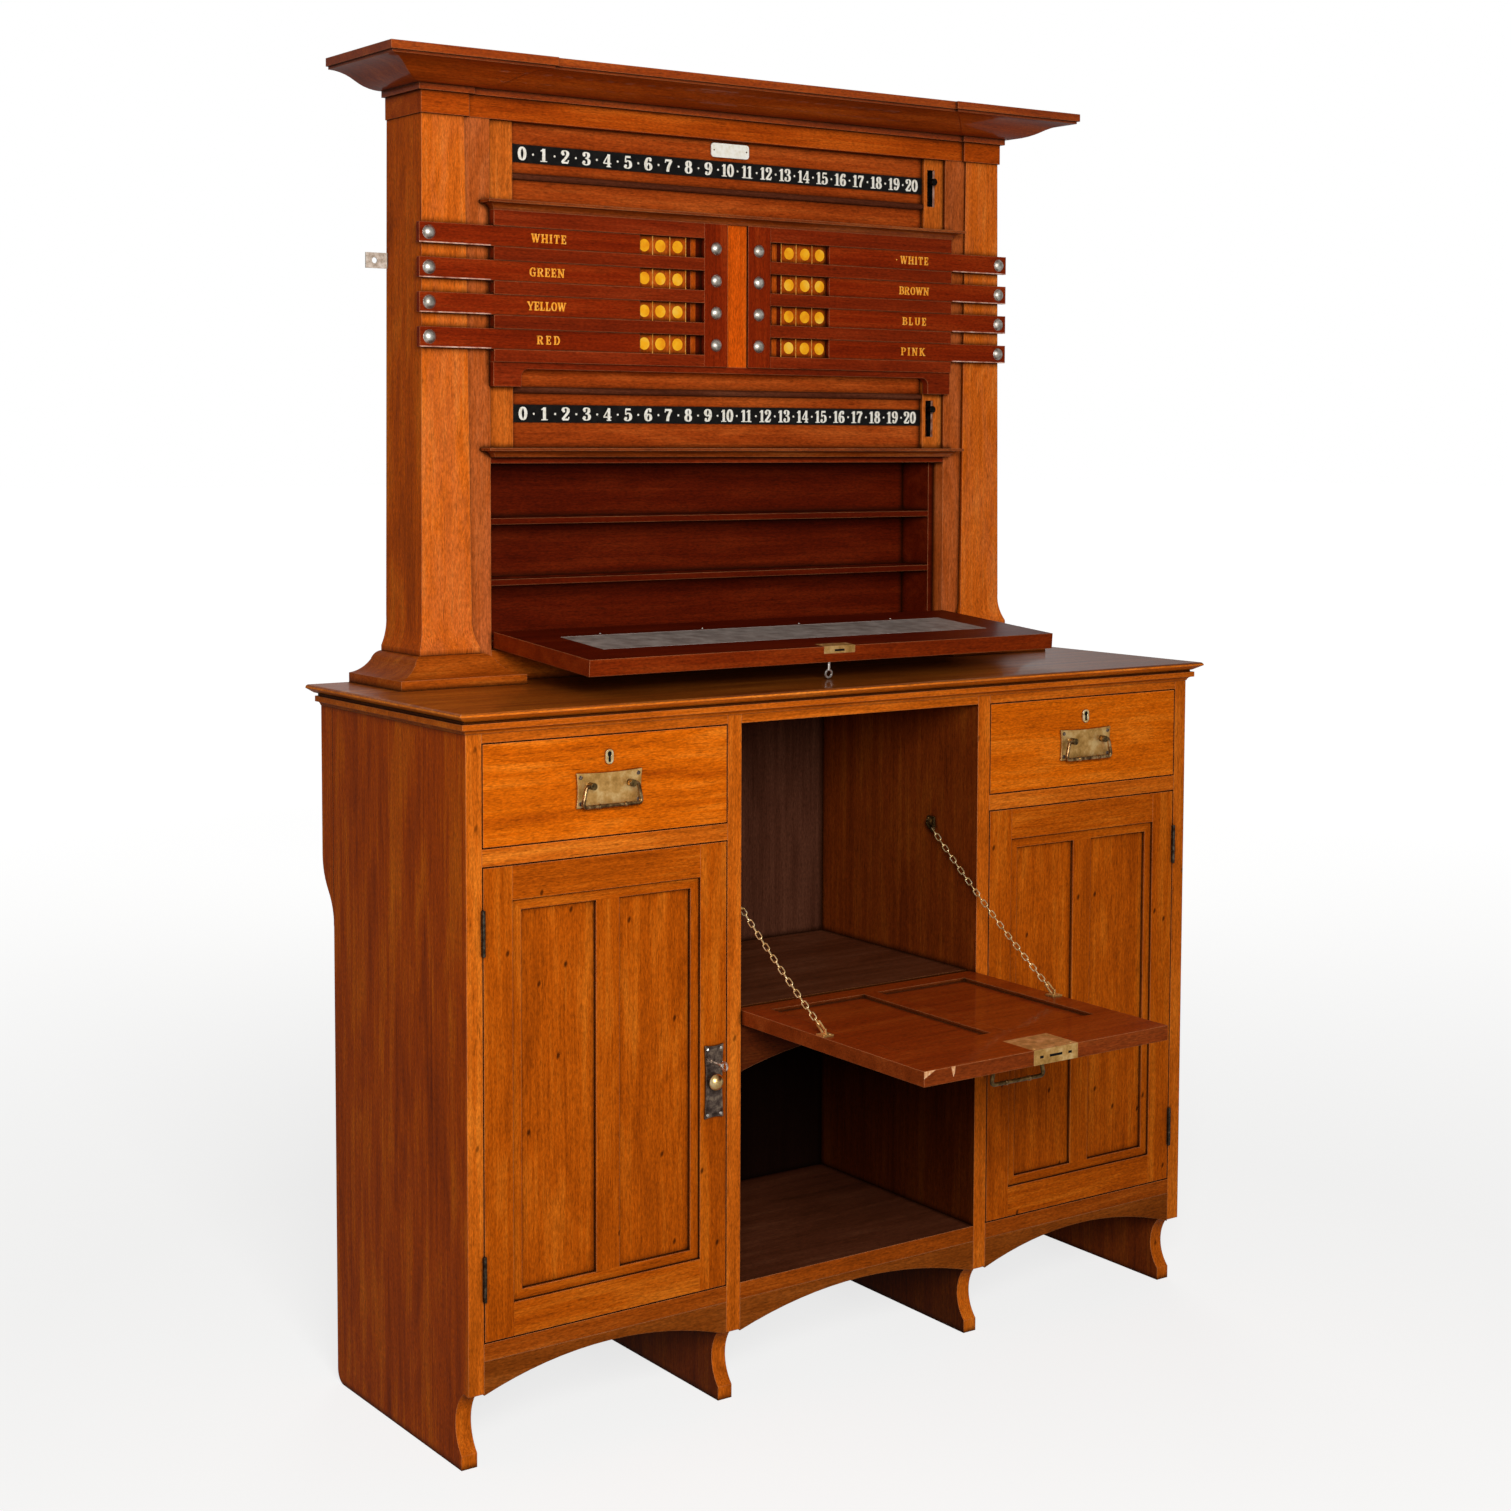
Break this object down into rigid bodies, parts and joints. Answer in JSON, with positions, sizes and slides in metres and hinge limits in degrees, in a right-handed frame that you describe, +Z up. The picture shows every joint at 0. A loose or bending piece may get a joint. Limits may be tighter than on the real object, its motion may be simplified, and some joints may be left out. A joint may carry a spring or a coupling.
{
  "type": "billiard scoring cabinet",
  "caption": "Mahogany billiard-room scoring cabinet on a cupboard base, with sliding score bars, number boards, ball compartment, drop flaps, drawers and doors.",
  "frame": {"origin": "on the floor, under the middle of the cabinet's overall box with the lower flap open", "axes": "+X to the right seen from the front, +Y to the wall behind, +Z up"},
  "size_m": [1.257, 0.7904, 1.7806],
  "materials": {
    "mahogany": "french polished mahogany",
    "dark_mahogany": "dark french polished mahogany",
    "aged_brass": "aged and rubbed",
    "steel": "dull plated",
    "black_strip": "black painted, white numbers",
    "slate": "honed slate"
  },
  "bodies": {
    "cabinet": {"left_side_panel": "mahogany", "right_side_panel": "mahogany", "left_divider": "mahogany", "right_divider": "mahogany", "base_top": "mahogany", "top_moulding": "mahogany", "drawer_rails": "mahogany", "floor_boards": "mahogany", "aprons": "mahogany", "base_back": "mahogany", "left_column": "mahogany", "right_column": "mahogany", "column_plinths": "mahogany", "frieze": "mahogany", "upper_stiles": "mahogany", "number_boards": "mahogany", "frame_stiles": "mahogany", "cornice": "dark_mahogany", "upper_back": "dark_mahogany", "score_back": "dark_mahogany", "score_frame": "dark_mahogany", "small_cornices": "dark_mahogany", "housing_apron": "dark_mahogany", "compartment_case": "dark_mahogany", "ball_shelves": "dark_mahogany", "life_strips": "dark_mahogany", "fixed_fittings": "aged_brass", "chains": "aged_brass", "wall_plates": "steel", "fixed_studs": "steel", "number_strips": "black_strip"},
    "left_drawer": {"left_drawer": "mahogany", "left_drawer_fittings": "aged_brass"},
    "right_drawer": {"right_drawer": "mahogany", "right_drawer_fittings": "aged_brass"},
    "left_drawer_bail": {"left_drawer_bail": "aged_brass"},
    "right_drawer_bail": {"right_drawer_bail": "aged_brass"},
    "left_door": {"left_door": "mahogany", "left_door_fittings": "aged_brass"},
    "right_door": {"right_door": "mahogany", "right_door_fittings": "aged_brass"},
    "left_door_key": {"left_door_key": "steel"},
    "lower_flap": {"lower_flap": "mahogany", "lower_flap_fittings": "aged_brass"},
    "lower_flap_bail": {"lower_flap_bail": "aged_brass"},
    "upper_flap": {"upper_flap": "dark_mahogany", "slate_panel": "slate", "upper_flap_fittings": "aged_brass"},
    "upper_flap_key": {"upper_flap_key": "steel"},
    "upper_peg": {"upper_peg": "aged_brass"},
    "lower_peg": {"lower_peg": "aged_brass"},
    "left_bar_1": {"left_bar_1": "dark_mahogany"},
    "left_bar_2": {"left_bar_2": "dark_mahogany"},
    "left_bar_3": {"left_bar_3": "dark_mahogany"},
    "left_bar_4": {"left_bar_4": "dark_mahogany"},
    "right_bar_1": {"right_bar_1": "dark_mahogany"},
    "right_bar_2": {"right_bar_2": "dark_mahogany"},
    "right_bar_3": {"right_bar_3": "dark_mahogany"},
    "right_bar_4": {"right_bar_4": "dark_mahogany"}
  },
  "joints": [
    {"name": "left_drawer_slide", "type": "slide", "parent": "cabinet", "child": "left_drawer", "axis": [0, -1, 0], "range_m": [0, 0.25]},
    {"name": "right_drawer_slide", "type": "slide", "parent": "cabinet", "child": "right_drawer", "axis": [0, -1, 0], "range_m": [0, 0.25]},
    {"name": "left_drawer_bail_swing", "type": "hinge", "parent": "left_drawer", "child": "left_drawer_bail", "pos_m": [-0.407, -0.02725, 0.8445], "axis": [-1, 0, 0], "range_deg": [0, 85]},
    {"name": "right_drawer_bail_swing", "type": "hinge", "parent": "right_drawer", "child": "right_drawer_bail", "pos_m": [0.407, -0.02725, 0.8445], "axis": [-1, 0, 0], "range_deg": [0, 85]},
    {"name": "left_door_hinge", "type": "hinge", "parent": "cabinet", "child": "left_door", "pos_m": [-0.5882, -0.02065, 0.459], "axis": [0, 0, -1], "range_deg": [0, 105]},
    {"name": "right_door_hinge", "type": "hinge", "parent": "cabinet", "child": "right_door", "pos_m": [0.5882, -0.02065, 0.459], "axis": [0, 0, 1], "range_deg": [0, 105]},
    {"name": "left_door_key_turn", "type": "hinge", "parent": "left_door", "child": "left_door_key", "pos_m": [-0.2466, -0.01825, 0.465], "axis": [0, 1, 0], "range_deg": [0, 180]},
    {"name": "lower_flap_pivot", "type": "hinge", "parent": "cabinet", "child": "lower_flap", "pos_m": [0, -0.00875, 0.5185], "axis": [-1, 0, 0], "range_deg": [0, 90], "deforming": ["chains"]},
    {"name": "lower_flap_bail_swing", "type": "hinge", "parent": "lower_flap", "child": "lower_flap_bail", "pos_m": [0, -0.33475, 0.5], "axis": [1, 0, 0], "range_deg": [0, 85]},
    {"name": "upper_flap_hinge", "type": "hinge", "parent": "cabinet", "child": "upper_flap", "pos_m": [0, 0.29435, 0.9908], "axis": [-1, 0, 0], "range_deg": [0, 94.5]},
    {"name": "upper_flap_key_turn", "type": "hinge", "parent": "upper_flap", "child": "upper_flap_key", "pos_m": [0.0025, 0.06417, 0.97509], "axis": [0, -0.0785, 0.9969], "range_deg": [-90, 90]},
    {"name": "upper_peg_slide", "type": "slide", "parent": "cabinet", "child": "upper_peg", "axis": [0, 0, 1], "range_m": [-0.0332, 0.0148]},
    {"name": "lower_peg_slide", "type": "slide", "parent": "cabinet", "child": "lower_peg", "axis": [0, 0, 1], "range_m": [-0.0382, 0.0098]},
    {"name": "left_bar_1_slide", "type": "slide", "parent": "cabinet", "child": "left_bar_1", "axis": [1, 0, 0], "range_m": [0, 0.106]},
    {"name": "right_bar_1_slide", "type": "slide", "parent": "cabinet", "child": "right_bar_1", "axis": [-1, 0, 0], "range_m": [0, 0.106]},
    {"name": "left_bar_2_slide", "type": "slide", "parent": "cabinet", "child": "left_bar_2", "axis": [1, 0, 0], "range_m": [0, 0.106]},
    {"name": "right_bar_2_slide", "type": "slide", "parent": "cabinet", "child": "right_bar_2", "axis": [-1, 0, 0], "range_m": [0, 0.106]},
    {"name": "left_bar_3_slide", "type": "slide", "parent": "cabinet", "child": "left_bar_3", "axis": [1, 0, 0], "range_m": [0, 0.106]},
    {"name": "right_bar_3_slide", "type": "slide", "parent": "cabinet", "child": "right_bar_3", "axis": [-1, 0, 0], "range_m": [0, 0.106]},
    {"name": "left_bar_4_slide", "type": "slide", "parent": "cabinet", "child": "left_bar_4", "axis": [1, 0, 0], "range_m": [0, 0.106]},
    {"name": "right_bar_4_slide", "type": "slide", "parent": "cabinet", "child": "right_bar_4", "axis": [-1, 0, 0], "range_m": [0, 0.106]}
  ]
}
